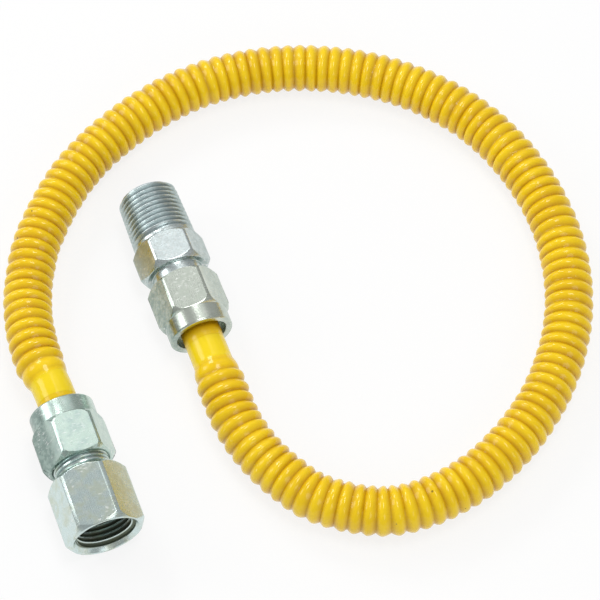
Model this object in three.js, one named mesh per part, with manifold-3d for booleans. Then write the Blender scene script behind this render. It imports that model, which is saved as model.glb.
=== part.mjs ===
// Flexible gas hose: a coated corrugated metal tube lying in an open loop, with a flare nut and an
// adapter at each end, one adapter with an internal and one with an external tapered pipe thread.
// Millimetres, +Z up, resting on z = 0, origin under the middle of the whole part.
// Both fittings lie along Y: the female one opens towards -Y, the male one points towards +Y.
import * as THREE from 'three';
import * as BufferGeometryUtils from 'three/addons/utils/BufferGeometryUtils.js';
import Module from 'manifold-3d';

const wasm = await Module();
wasm.setup();

// Driving dimensions: the loop that the tube's centre line lies in
const LOOP_HALF_WIDTH = 93.5;
const LOOP_HALF_DEPTH = 89.6;

// Driving dimensions: the corrugated tube
const CROWN_RADIUS = 8.25;
const VALLEY_RADIUS = 7;
const END_CROWN_RADIUS = 7.55;
const CUFF_RADIUS = 6.75;
const WALL = 0.7;
const CORRUGATION_PITCH = 4.17;
const CROWN_SHARE = 0.42;
const CUFF_LENGTH = 22;
const CUFF_STRAIGHT = 13;
const FLARE_LIP_RADIUS = 8.4;
const TUBE_SIDES = 12;
const RINGS_PER_BORE_STEP = 3;

// Driving dimensions: the flare nut, the same at both ends, along its axis from the collar's face
const NUT_ACROSS_FLATS = 22.2;
const NUT_LENGTH = 21.4;
const COLLAR_RADIUS = 11;
const COLLAR_LENGTH = 6.3;
const COLLAR_RIM_CHAMFER = 0.4;
const COLLAR_CHAMFER = 2.4;
const COLLAR_BORE_RADIUS = 8.65;
const COLLAR_BORE_DEPTH = 4.5;
const THROAT_LENGTH = 2.2;
const NUT_FACE_RADIUS = 10.7;
const NUT_FACE_CHAMFER = 1.4;

// Driving dimensions: the flare end that both adapters have
const FLARE_THREAD_RADIUS = 9.4;
const GAS_BORE_RADIUS = 4.75;
const NOSE_WALL = 0.9;

// Driving dimensions: the adapter with the internal pipe thread
const FEMALE_NECK = 4.5;
const FEMALE_ACROSS_FLATS = 24.2;
const FEMALE_HEX_LENGTH = 22.1;
const FEMALE_BACK_CHAMFER = 2;
const FEMALE_BACK_RADIUS = 11.6;
const FEMALE_FACE_CHAMFER = 1.7;
const FEMALE_FACE_RADIUS = 12.1;
const SOCKET_RADIUS = 9.55;
const SOCKET_DEPTH = 15;
const COUNTERSINK_RADIUS = 11.15;
const DRILL_POINT_LENGTH = 2.8;

// Driving dimensions: the adapter with the external pipe thread
const MALE_NECK = 3.8;
const MALE_NECK_RADIUS = 8.9;
const MALE_ACROSS_FLATS = 22.2;
const MALE_HEX_LENGTH = 11.9;
const MALE_HEX_CHAMFER = 1.6;
const MALE_HEX_FACE_RADIUS = 11.1;
const RELIEF_BAND_LENGTH = 1.1;
const PIPE_THREAD_LENGTH = 19.8;
const PIPE_THREAD_TIP_RADIUS = 10.4;
const PIPE_THREAD_TAPER = 1 / 32;
const PIPE_THREAD_CHAMFER = 0.9;

// Clearances
const SEAT_GAP = 0.3;
const CUFF_CLEARANCE = 0.3;
const THREAD_CLEARANCE = 0.35;

// Rolls of the hexagons about their axis, degrees, positive towards +X from a flat on top
const FEMALE_NUT_ROLL = 8.5;
const FEMALE_HEX_ROLL = -6.5;
const MALE_NUT_ROLL = -3.5;
const MALE_HEX_ROLL = -0.6;

// Radius taken off every hexagon's corners
const CORNER_TURN = 0.25;

const TURNED_SEGMENTS = 36;
const HEX_SIDES = 6;
const DIAGONAL = Math.SQRT2;

// A hexagon's sharp corner, and the radius to which its corners are turned down.
const sharpCorner = (acrossFlats) => acrossFlats / 2 / Math.cos(Math.PI / HEX_SIDES);
const cornerRadius = (acrossFlats) => sharpCorner(acrossFlats) - CORNER_TURN;

// Height of a rolled hexagon's axis when the lowest edge of its lowest flat touches the floor.
const restHeight = (acrossFlats, rollDegrees) => {
  const corner = cornerRadius(acrossFlats);
  const halfFlat = Math.acos(acrossFlats / 2 / corner);
  return corner * Math.cos(halfFlat - THREE.MathUtils.degToRad(Math.abs(rollDegrees)));
};

const femaleAxisHeight = Math.max(
  restHeight(FEMALE_ACROSS_FLATS, FEMALE_HEX_ROLL),
  restHeight(NUT_ACROSS_FLATS, FEMALE_NUT_ROLL),
);
const maleAxisHeight = Math.max(
  restHeight(MALE_ACROSS_FLATS, MALE_HEX_ROLL),
  restHeight(NUT_ACROSS_FLATS, MALE_NUT_ROLL),
);

// The tube's centre line, from the flared lip in the female nut to the one in the male nut: for
// each point its share of the loop's half width, of its half depth, and of the rise from the floor
// to the fitting's axis, which it makes along the last stretch before the cuff.
const femaleStretch = [
  [-0.94759, -0.30525, 1],
  [-0.94759, -0.2042, 1],
  [-0.9497, -0.1004, 1],
  [-0.9604, 0, 0.933],
  [-0.9572, 0.1116, 0.744],
  [-0.9305, 0.2679, 0.344],
  [-0.8727, 0.4252, 0.122],
  [-0.7957, 0.5625, 0.033],
];
const loopOnTheFloor = [
  [-0.5861, 0.7868, 0],
  [-0.3283, 0.9308, 0],
  [-0.0492, 1, 0],
  [0.231, 0.9799, 0],
  [0.4973, 0.8772, 0],
  [0.7251, 0.7054, 0],
  [0.8984, 0.4676, 0],
  [0.9914, 0.1763, 0],
  [1, -0.1384, 0],
  [0.9166, -0.442, 0],
  [0.7476, -0.6987, 0],
  [0.5241, -0.8839, 0],
  [0.2706, -0.9877, 0],
  [0.0118, -0.9866, 0],
];
const maleStretch = [
  [-0.2043, -0.8504, 0.016],
  [-0.2813, -0.7388, 0.11],
  [-0.338, -0.615, 0.298],
  [-0.3722, -0.4777, 0.58],
  [-0.3786, -0.3292, 0.906],
  [-0.377, -0.2009, 1],
  [-0.377, -0.0893, 1],
  [-0.377, 0.01563, 1],
];
const placed = (shares, axisHeight) => shares.map(([across, along, rise]) => new THREE.Vector3(
  across * LOOP_HALF_WIDTH,
  along * LOOP_HALF_DEPTH,
  THREE.MathUtils.lerp(CROWN_RADIUS, axisHeight, rise),
));
const route = new THREE.CatmullRomCurve3([
  ...placed(femaleStretch, femaleAxisHeight),
  ...placed(loopOnTheFloor, CROWN_RADIUS),
  ...placed(maleStretch, maleAxisHeight),
]);
route.arcLengthDivisions = 3000;

const materials = {
  coating: { color: 0xe8bc1e, roughness: 0.3, metalness: 0 },
  nutZinc: { color: 0xb6c4c2, roughness: 0.34, metalness: 1 },
  femaleZinc: { color: 0xaeb9b8, roughness: 0.32, metalness: 1 },
  maleZinc: { color: 0xa9b4ba, roughness: 0.36, metalness: 1 },
};

const named = (name, geometry, material) => {
  const mesh = new THREE.Mesh(geometry, new THREE.MeshStandardMaterial(material));
  mesh.name = name;
  return mesh;
};

// Solids from three.js geometry, and back
const toSolid = (geometry) => {
  const bare = geometry.clone();
  bare.deleteAttribute('normal');
  bare.deleteAttribute('uv');
  const merged = BufferGeometryUtils.mergeVertices(bare, 1e-4);
  return new wasm.Manifold(new wasm.Mesh({
    numProp: 3,
    vertProperties: new Float32Array(merged.attributes.position.array),
    triVerts: new Uint32Array(merged.index.array),
  }));
};

const toGeometry = (solid) => {
  const mesh = solid.getMesh();
  const geometry = new THREE.BufferGeometry();
  geometry.setAttribute('position', new THREE.BufferAttribute(new Float32Array(mesh.vertProperties), 3));
  geometry.setIndex(new THREE.BufferAttribute(new Uint32Array(mesh.triVerts), 1));
  geometry.computeVertexNormals();
  return geometry;
};

// A ring turned about Y from a closed outline of [radius, along] points, walked with the outer
// surface in the direction of Y and the bore back.
const turned = (outline, segments = TURNED_SEGMENTS) => {
  const points = [...outline, outline[0]].map(([radius, along]) => new THREE.Vector2(radius, along));
  return new THREE.LatheGeometry(points, segments);
};

// Mills six flats on a turned blank between two places along its axis.
const milledHex = (blank, acrossFlats, from, to) => {
  const length = to - from;
  const middle = (from + to) / 2;
  const stockRadius = 2 * acrossFlats;
  const stock = new THREE.CylinderGeometry(stockRadius, stockRadius, length, HEX_SIDES);
  const corner = sharpCorner(acrossFlats);
  const hexagon = new THREE.CylinderGeometry(corner, corner, 2 * length, HEX_SIDES);
  hexagon.rotateY(Math.PI / HEX_SIDES);
  stock.translate(0, middle, 0);
  hexagon.translate(0, middle, 0);
  const waste = toSolid(stock).subtract(toSolid(hexagon));
  return toSolid(blank).subtract(waste);
};

// Places along a fitting's axis, counted from the collar's face towards the adapter's open end.
// The tube's flare, the nut's seat and the adapter's nose are three 45 degree cones a gap apart.
const flareSkin = WALL / DIAGONAL;
const seatShift = SEAT_GAP * DIAGONAL;
const throatRadius = CUFF_RADIUS + CUFF_CLEARANCE;
const tubeRadiusAtEnd = FLARE_LIP_RADIUS + flareSkin;
const throatEnd = COLLAR_BORE_DEPTH + THROAT_LENGTH;
const tubeEnd = throatEnd + tubeRadiusAtEnd + seatShift - throatRadius;
const noseTipRadius = GAS_BORE_RADIUS + NOSE_WALL;
const noseStart = tubeEnd - (FLARE_LIP_RADIUS - flareSkin - seatShift - noseTipRadius);
const noseEnd = noseStart + FLARE_THREAD_RADIUS - noseTipRadius;
const nutBoreRadius = FLARE_THREAD_RADIUS + THREAD_CLEARANCE;
const seatRadius = FLARE_LIP_RADIUS + 2 * SEAT_GAP;
const seatEnd = throatEnd + seatRadius - throatRadius;

// The rings have flat facets: their corners stand out so that each flat touches the true circle.
const facetCorner = (radius) => radius / Math.cos(Math.PI / TUBE_SIDES);

// The tube's outline, straight along Y and bent afterwards: flare, cuff, rings, cuff, flare, bore.
const tubeOutline = (length) => {
  const flareLength = FLARE_LIP_RADIUS + flareSkin - CUFF_RADIUS;
  const corrugated = length - 2 * CUFF_LENGTH;
  const count = Math.round(corrugated / CORRUGATION_PITCH);
  const pitch = corrugated / count;
  const outer = [
    [FLARE_LIP_RADIUS - flareSkin, 0],
    [FLARE_LIP_RADIUS, flareSkin],
    [CUFF_RADIUS, flareLength],
    [CUFF_RADIUS, CUFF_STRAIGHT],
    [VALLEY_RADIUS, CUFF_LENGTH],
  ];
  for (let ring = 0; ring < count; ring += 1) {
    const start = CUFF_LENGTH + ring * pitch;
    const crown = facetCorner(ring === 0 || ring === count - 1 ? END_CROWN_RADIUS : CROWN_RADIUS);
    const shoulder = (1 - CROWN_SHARE) / 2;
    outer.push([crown, start + shoulder * pitch], [crown, start + (1 - shoulder) * pitch]);
    if (ring < count - 1) outer.push([facetCorner(VALLEY_RADIUS), start + pitch]);
  }
  outer.push(
    [VALLEY_RADIUS, length - CUFF_LENGTH],
    [CUFF_RADIUS, length - CUFF_STRAIGHT],
    [CUFF_RADIUS, length - flareLength],
    [FLARE_LIP_RADIUS, length - flareSkin],
    [FLARE_LIP_RADIUS - flareSkin, length],
  );
  const boreRadius = CUFF_RADIUS - WALL;
  const boreStart = FLARE_LIP_RADIUS - flareSkin - boreRadius;
  const bore = [[boreRadius, length - boreStart]];
  for (let ring = count; ring >= 0; ring -= RINGS_PER_BORE_STEP) {
    bore.push([boreRadius, CUFF_LENGTH + ring * pitch]);
  }
  bore.push([boreRadius, boreStart]);
  return [...outer, ...bore];
};

// Bends a body that is straight along Y onto the route, keeping one flat side down.
const bentAlong = (geometry, curve) => {
  const length = curve.getLength();
  const position = geometry.attributes.position;
  const up = new THREE.Vector3(0, 0, 1);
  for (let index = 0; index < position.count; index += 1) {
    const share = THREE.MathUtils.clamp(position.getY(index) / length, 0, 1);
    const tangent = curve.getTangentAt(share);
    const side = new THREE.Vector3().crossVectors(tangent, up).normalize();
    const lift = new THREE.Vector3().crossVectors(side, tangent);
    const place = curve.getPointAt(share)
      .addScaledVector(side, position.getX(index))
      .addScaledVector(lift, position.getZ(index));
    position.setXYZ(index, place.x, place.y, place.z);
  }
  return geometry;
};

const corrugatedTube = () => {
  const straight = turned(tubeOutline(route.getLength()), TUBE_SIDES);
  straight.rotateY(Math.PI / TUBE_SIDES);
  return toGeometry(toSolid(bentAlong(straight, route)));
};

const flareNut = () => {
  const corner = cornerRadius(NUT_ACROSS_FLATS);
  const entry = nutBoreRadius + THREAD_CLEARANCE;
  const blank = turned([
    [COLLAR_BORE_RADIUS, 0],
    [COLLAR_RADIUS - COLLAR_RIM_CHAMFER, 0],
    [COLLAR_RADIUS, COLLAR_RIM_CHAMFER],
    [COLLAR_RADIUS, COLLAR_LENGTH],
    [corner, COLLAR_LENGTH + COLLAR_CHAMFER],
    [corner, NUT_LENGTH - NUT_FACE_CHAMFER],
    [NUT_FACE_RADIUS, NUT_LENGTH],
    [entry, NUT_LENGTH],
    [nutBoreRadius, NUT_LENGTH - (entry - nutBoreRadius)],
    [nutBoreRadius, seatEnd],
    [seatRadius, seatEnd],
    [throatRadius, throatEnd],
    [throatRadius, COLLAR_BORE_DEPTH],
    [COLLAR_BORE_RADIUS, COLLAR_BORE_DEPTH],
  ]);
  return toGeometry(milledHex(blank, NUT_ACROSS_FLATS, COLLAR_LENGTH, NUT_LENGTH));
};

// The nose cone and the flare thread's cylinder, as the start of an adapter's outer outline.
const flareEnd = [
  [GAS_BORE_RADIUS, noseStart],
  [noseTipRadius, noseStart],
  [FLARE_THREAD_RADIUS, noseEnd],
];

const femaleAdapter = () => {
  const hexStart = NUT_LENGTH + FEMALE_NECK;
  const face = hexStart + FEMALE_HEX_LENGTH;
  const corner = cornerRadius(FEMALE_ACROSS_FLATS);
  const socketEnd = face - SOCKET_DEPTH;
  const blank = turned([
    ...flareEnd,
    [FLARE_THREAD_RADIUS, hexStart],
    [FEMALE_BACK_RADIUS, hexStart],
    [corner, hexStart + FEMALE_BACK_CHAMFER],
    [corner, face - FEMALE_FACE_CHAMFER],
    [FEMALE_FACE_RADIUS, face],
    [COUNTERSINK_RADIUS, face],
    [SOCKET_RADIUS, face - (COUNTERSINK_RADIUS - SOCKET_RADIUS)],
    [SOCKET_RADIUS, socketEnd],
    [GAS_BORE_RADIUS, socketEnd - DRILL_POINT_LENGTH],
  ]);
  return toGeometry(milledHex(blank, FEMALE_ACROSS_FLATS, hexStart, face));
};

const maleAdapter = () => {
  const hexStart = NUT_LENGTH + MALE_NECK;
  const hexEnd = hexStart + MALE_HEX_LENGTH;
  const threadStart = hexEnd + RELIEF_BAND_LENGTH;
  const tip = threadStart + PIPE_THREAD_LENGTH;
  const corner = cornerRadius(MALE_ACROSS_FLATS);
  const baseRadius = PIPE_THREAD_TIP_RADIUS + PIPE_THREAD_LENGTH * PIPE_THREAD_TAPER;
  const blank = turned([
    ...flareEnd,
    [FLARE_THREAD_RADIUS, NUT_LENGTH],
    [MALE_NECK_RADIUS, NUT_LENGTH + FLARE_THREAD_RADIUS - MALE_NECK_RADIUS],
    [MALE_NECK_RADIUS, hexStart],
    [MALE_HEX_FACE_RADIUS, hexStart],
    [corner, hexStart + MALE_HEX_CHAMFER],
    [corner, hexEnd - MALE_HEX_CHAMFER],
    [MALE_HEX_FACE_RADIUS, hexEnd],
    [baseRadius, hexEnd],
    [baseRadius, threadStart],
    [PIPE_THREAD_TIP_RADIUS + PIPE_THREAD_CHAMFER * PIPE_THREAD_TAPER, tip - PIPE_THREAD_CHAMFER],
    [PIPE_THREAD_TIP_RADIUS - PIPE_THREAD_CHAMFER, tip],
    [GAS_BORE_RADIUS, tip],
  ]);
  return toGeometry(milledHex(blank, MALE_ACROSS_FLATS, hexStart, hexEnd));
};

// Puts a fitting on an end of the route, its axis along Y and its flats rolled about that axis.
const fitting = (end, outward, pieces) => {
  const group = new THREE.Group();
  group.position.copy(end);
  group.position.y -= outward * tubeEnd;
  group.rotation.z = outward > 0 ? 0 : Math.PI;
  for (const [mesh, roll] of pieces) {
    mesh.rotation.y = THREE.MathUtils.degToRad(outward * roll);
    group.add(mesh);
  }
  return group;
};

const hose = new THREE.Group();
hose.add(named('corrugated_tube', corrugatedTube(), materials.coating));
hose.add(fitting(route.getPoint(0), -1, [
  [named('female_flare_nut', flareNut(), materials.nutZinc), FEMALE_NUT_ROLL],
  [named('female_adapter', femaleAdapter(), materials.femaleZinc), FEMALE_HEX_ROLL],
]));
hose.add(fitting(route.getPoint(1), 1, [
  [named('male_flare_nut', flareNut(), materials.nutZinc), MALE_NUT_ROLL],
  [named('male_adapter', maleAdapter(), materials.maleZinc), MALE_HEX_ROLL],
]));

export default hose;
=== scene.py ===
"""Looks of the flexible gas hose: a coated corrugated tube with a nut and an adapter at each end.

Sizes are in millimetres where a name says nothing else, and every finished mesh is in metres in the
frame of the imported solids. Fittings are shaped along +Y from the face of their nut's collar.
"""

import logging
import math
from bisect import bisect_right
from collections.abc import Iterable, Sequence
from dataclasses import dataclass, field
from enum import Enum

import bmesh
import bpy
from mathutils import Matrix, Vector


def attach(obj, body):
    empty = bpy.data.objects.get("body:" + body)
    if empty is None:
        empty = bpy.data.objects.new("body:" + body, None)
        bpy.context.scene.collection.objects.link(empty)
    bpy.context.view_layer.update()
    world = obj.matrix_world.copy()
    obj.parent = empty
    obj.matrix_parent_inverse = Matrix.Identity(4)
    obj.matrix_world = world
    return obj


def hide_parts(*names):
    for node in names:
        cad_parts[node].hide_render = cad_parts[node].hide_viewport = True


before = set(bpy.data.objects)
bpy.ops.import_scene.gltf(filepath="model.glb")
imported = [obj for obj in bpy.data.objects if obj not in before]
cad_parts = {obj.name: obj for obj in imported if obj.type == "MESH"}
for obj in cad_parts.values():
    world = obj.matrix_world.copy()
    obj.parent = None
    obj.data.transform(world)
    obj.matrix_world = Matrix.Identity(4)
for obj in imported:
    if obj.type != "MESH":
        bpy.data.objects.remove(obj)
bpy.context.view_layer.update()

LOG = logging.getLogger("gas_hose")
MM = 0.001
AXIS_STEPS = 96
HEX_SIDES = 6
MERGE = 0.004
CUT_TOLERANCE = 1e-4
DEGENERATE = 1e-5
CORNER_SEGMENTS = 3
EDGE_SEGMENTS = 2
ROUND_PROFILE = 0.5
CREASE = 32.0
KEYS_PER_MM = 1000
PAINTED_SHADE_ATTRIBUTE = "groove"
WHITE = (1.0, 1.0, 1.0, 1.0)
LACQUER = {"IOR": 1.4, "Specular IOR Level": 0.3, "Coat Weight": 0.5, "Coat Roughness": 0.035,
           "Coat IOR": 1.45}

# Roundings of turned edges, and the colour sockets of the Mix node
HAIR, FINE, SLIGHT, SOFT, ROUND = 0.08, 0.1, 0.15, 0.2, 0.3
MIX_INPUTS, MIX_RESULT = (0, 6, 7), 2

Pair = tuple[float, float]
Triple = tuple[float, float, float]
Color = Triple
Outline = Sequence[tuple[float, ...]]
Number = "Value | float"


class Finish(Enum):
    """The record's material slots."""

    COATING = "coating"
    NUT_ZINC = "nut_zinc"
    FEMALE_ZINC = "female_zinc"
    MALE_ZINC = "male_zinc"


class Face(Enum):
    """Material slots of a fitting's mesh."""

    TURNED = 0
    MILLED = 1


# Shader maths


class Value:
    """A shader number with Python's arithmetic."""

    def __init__(self, sheet: "NodeSheet", socket: bpy.types.NodeSocket) -> None:
        """Keeps an output and the sheet that its Math nodes go to."""
        self.sheet = sheet
        self.socket = socket

    def maths(self, operation: str, *operands: Number) -> "Value":
        """Adds one Math node with its inputs in order, links or numbers."""
        inputs = dict(enumerate(operands))
        return self.sheet.value("ShaderNodeMath", {"operation": operation}, inputs)

    def __add__(self, other: Number) -> "Value":
        """Sum."""
        return self.maths("ADD", self, other)

    def __radd__(self, other: float) -> "Value":
        """Sum with a number on the left."""
        return self.maths("ADD", other, self)

    def __sub__(self, other: Number) -> "Value":
        """Difference."""
        return self.maths("SUBTRACT", self, other)

    def __rsub__(self, other: float) -> "Value":
        """Difference from a number."""
        return self.maths("SUBTRACT", other, self)

    def __mul__(self, other: Number) -> "Value":
        """Product."""
        return self.maths("MULTIPLY", self, other)

    def __rmul__(self, other: float) -> "Value":
        """Product with a number on the left."""
        return self.maths("MULTIPLY", other, self)

    def __pow__(self, other: Number) -> "Value":
        """Power."""
        return self.maths("POWER", self, other)

    def between(self, low: float, high: float, out_low: float = 0.0,
                out_high: float = 1.0) -> "Value":
        """Maps a range onto another smoothly, clamped.

        Args:
            low: The value that gives out_low.
            high: The value that gives out_high.
            out_low: The result at and below low.
            out_high: The result at and above high.

        Returns:
            The mapped value.
        """
        settings = {"interpolation_type": "SMOOTHSTEP", "clamp": True}
        inputs = {0: self, 1: low, 2: high, 3: out_low, 4: out_high}
        return self.sheet.value("ShaderNodeMapRange", settings, inputs)


class NodeSheet:
    """A material's nodes, added by one method."""

    def __init__(self, name: str) -> None:
        """Makes an empty material with a Principled surface.

        Args:
            name: The material's name.
        """
        self.material = bpy.data.materials.new(name)
        self.material.use_nodes = True
        self.tree = self.material.node_tree
        self.surface = self.tree.nodes["Principled BSDF"]

    def node(self, kind: str, settings: dict | None = None,
             inputs: dict | None = None) -> bpy.types.Node:
        """Adds a node of any type.

        Args:
            kind: The node's type.
            settings: Its properties, set first.
            inputs: Values or links for its sockets, by name or place.

        Returns:
            The new node.
        """
        node = self.tree.nodes.new(kind)
        for key, setting in (settings or {}).items():
            setattr(node, key, setting)
        self.feed(node, inputs or {})
        return node

    def feed(self, node: bpy.types.Node, inputs: dict) -> None:
        """Links or sets a node's inputs.

        Args:
            node: The node to feed.
            inputs: Values or links, by socket name or place.
        """
        for key, given in inputs.items():
            given = given.socket if isinstance(given, Value) else given
            if isinstance(given, bpy.types.NodeSocket):
                self.tree.links.new(given, node.inputs[key])
            else:
                node.inputs[key].default_value = given

    def value(self, kind: str, settings: dict | None = None, inputs: dict | None = None,
              out: int | str = 0) -> Value:
        """Adds a node as node() does and gives one of its outputs as a shader number."""
        return Value(self, self.node(kind, settings, inputs).outputs[out])

    def place(self, offset: Sequence[float] = (0, 0, 0),
              stretch: Sequence[float] = (1, 1, 1)) -> bpy.types.NodeSocket:
        """Gives the object coordinates moved to a piece's axis and stretched.

        Args:
            offset: The point in metres that becomes the middle.
            stretch: How much each direction is scaled after the move.

        Returns:
            The mapped coordinates.
        """
        source = self.node("ShaderNodeTexCoord").outputs["Object"]
        moved = [-o * s for o, s in zip(offset, stretch)]
        inputs = {"Vector": source, "Location": moved, "Scale": list(stretch)}
        return self.node("ShaderNodeMapping", {}, inputs).outputs["Vector"]

    def noise(self, where: bpy.types.NodeSocket, grain: "Grain") -> Value:
        """Adds a noise texture.

        Args:
            where: The coordinates that it reads.
            grain: Its scale and detail.

        Returns:
            The noise's strength.
        """
        inputs = {"Vector": where, "Scale": grain.scale, "Detail": grain.detail,
                  "Roughness": grain.rough}
        return self.value("ShaderNodeTexNoise", {"noise_dimensions": "3D"}, inputs)

    def blend(self, share: Number, first: object, second: object) -> bpy.types.NodeSocket:
        """Mixes two colours.

        Args:
            share: How much of the second colour shows.
            first: A linear colour or a link.
            second: A linear colour or a link.

        Returns:
            The mixed colour.
        """
        colors = [(*c, 1.0) if isinstance(c, tuple) else c for c in (first, second)]
        inputs = dict(zip(MIX_INPUTS, (share, *colors)))
        return self.node("ShaderNodeMix", {"data_type": "RGBA"}, inputs).outputs[MIX_RESULT]

    def relief(self, height: Value, distance: float, strength: float) -> None:
        """Feeds a bump to the surface's normal.

        Args:
            height: The relief, from 0 to 1.
            distance: Its depth in metres.
            strength: How strongly it shows.
        """
        inputs = {"Height": height, "Distance": distance, "Strength": strength}
        bump = self.node("ShaderNodeBump", {}, inputs)
        self.feed(self.surface, {"Normal": bump.outputs["Normal"]})


@dataclass(frozen=True)
class Grain:
    """The size and detail of a noise."""

    scale: float
    detail: float = 2.0
    rough: float = 0.5


@dataclass(frozen=True)
class CoatingFinish:
    """Glossy yellow coating, with painted shade in its grooves and near the nuts' mouths, small
    specks and a faint orange peel.
    """

    cuff: Color = (0.98, 0.73, 0.010)
    # The rings' colours, crown and shade, are a little darker and oranger than the cuff's: painted
    # shade on the rings
    crown: Color = (1.0, 0.69, 0.008)
    shade: Color = (0.93, 0.61, 0.005)
    # Painted shade: the colour of the grooves between rings and of the cuffs near the nuts' mouths
    groove: Color = (0.52, 0.25, 0.001)
    speck: Color = (0.10, 0.06, 0.02)
    clouds: Grain = Grain(90.0, 3.0)
    cloud_range: Pair = (0.35, 0.70)
    ring_range: Pair = (0.0, 0.05)
    groove_power: float = 1.45
    groove_share: Pair = (0.55, 0.45)
    speck_spacing: float = 190.0
    speck_size: Pair = (0.05, 0.11)
    speck_places: Grain = Grain(260.0, 0.0)
    speck_range: Pair = (0.64, 0.70)
    speck_share: float = 0.8
    roughness: float = 0.22
    groove_roughness: float = 0.18
    fine: Grain = Grain(900.0)
    fine_roughness: float = 0.10
    run: Grain = Grain(240.0, 1.0)
    run_range: Pair = (0.0, 0.11)
    peel: Grain = Grain(420.0, 1.0)
    peel_shares: Triple = (0.6, 0.4, 2.4)
    bump: Pair = (0.00016, 0.7)

    def material(self) -> bpy.types.Material:
        """Builds the coating.

        Returns:
            The material.
        """
        sheet = NodeSheet("yellow_coating")
        here = sheet.place()
        cloud = sheet.noise(here, self.clouds)
        fine = sheet.noise(here, self.fine)
        # The mesh's share of painted shade, deepest in the grooves and on the cuffs at the nuts'
        # mouths
        groove = sheet.value("ShaderNodeAttribute", {"attribute_name": PAINTED_SHADE_ATTRIBUTE}, out="Fac")
        dots = sheet.value("ShaderNodeTexVoronoi", {"feature": "F1"},
                           {"Vector": here, "Scale": self.speck_spacing}, "Distance")
        rare = sheet.noise(here, self.speck_places).between(*self.speck_range)
        speck = dots.between(*self.speck_size, 1.0, 0.0) * rare
        # The rings take clouds of tone between crown and shade, a little darker than the cuffs as
        # painted shade
        ringed = sheet.blend(cloud.between(*self.cloud_range), self.crown, self.shade)
        body = sheet.blend(groove.between(*self.ring_range), self.cuff, ringed)
        # Painted shade: the groove colour mixed in by that share
        least, more = self.groove_share
        share = (groove ** self.groove_power) * (least + more * cloud)
        deep = sheet.blend(share, body, self.groove)
        sheet.feed(sheet.surface, {
            "Base Color": sheet.blend(speck * self.speck_share, deep, self.speck),
            "Roughness": (self.roughness + groove * self.groove_roughness
                          + (fine - 0.5) * self.fine_roughness),
            **LACQUER,
        })
        run = sheet.noise(here, self.run) * groove.between(*self.run_range, 1.0, 0.0)
        parts = zip((sheet.noise(here, self.peel), cloud, run), self.peel_shares)
        peel, clouded, runs = (part * share for part, share in parts)
        sheet.relief(peel + clouded + runs, *self.bump)
        return sheet.material


@dataclass(frozen=True)
class GrooveShade:
    """Painted shade in the grooves of a thread, between two places along the axis, and on its
    crests by crest_share.
    """

    start: float
    end: float
    crest: float
    root: float
    taper: float = 0.0
    sharpness: Pair = (0.15, 0.75)
    strength: float = 0.44
    crest_share: float = 0.0
    color: Color = (0.20, 0.235, 0.245)
    fade: float = 0.4
    past_root: Pair = (0.1, 0.4)

    def share(self, along: Value, radius: Value) -> Value:
        """Gives how much of the groove's colour shows.

        Args:
            along: The place along the axis in metres.
            radius: The distance from the axis in metres.

        Returns:
            The share, from 0 to 1.
        """
        crest = (self.end * MM - along) * self.taper + self.crest * MM
        deep = ((radius - crest) * (1.0 / ((self.root - self.crest) * MM))).between(*self.sharpness)
        ends = (along.between(self.start * MM, (self.start + self.fade) * MM)
                * along.between((self.end - self.fade) * MM, self.end * MM, 1.0, 0.0))
        share = (deep * (1.0 - self.crest_share) + self.crest_share) * ends * self.strength
        if self.root > self.crest:
            near, far = ((self.root + step) * MM for step in self.past_root)
            share = share * radius.between(near, far, 1.0, 0.0)
        return share


@dataclass(frozen=True)
class Plating:
    """How the zinc of one piece looks: its colours, its grain and its painted shade.

    The side shade shares are those of the sides towards -X and +X, which painted shade darkens.
    """

    name: str
    clean: Color
    stain: Color
    bloom: Color
    roughness: float
    threads: tuple[GrooveShade, ...] = ()
    side_shade_shares: Pair = (0.0, 0.0)
    grain_share: float = 0.20


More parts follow.
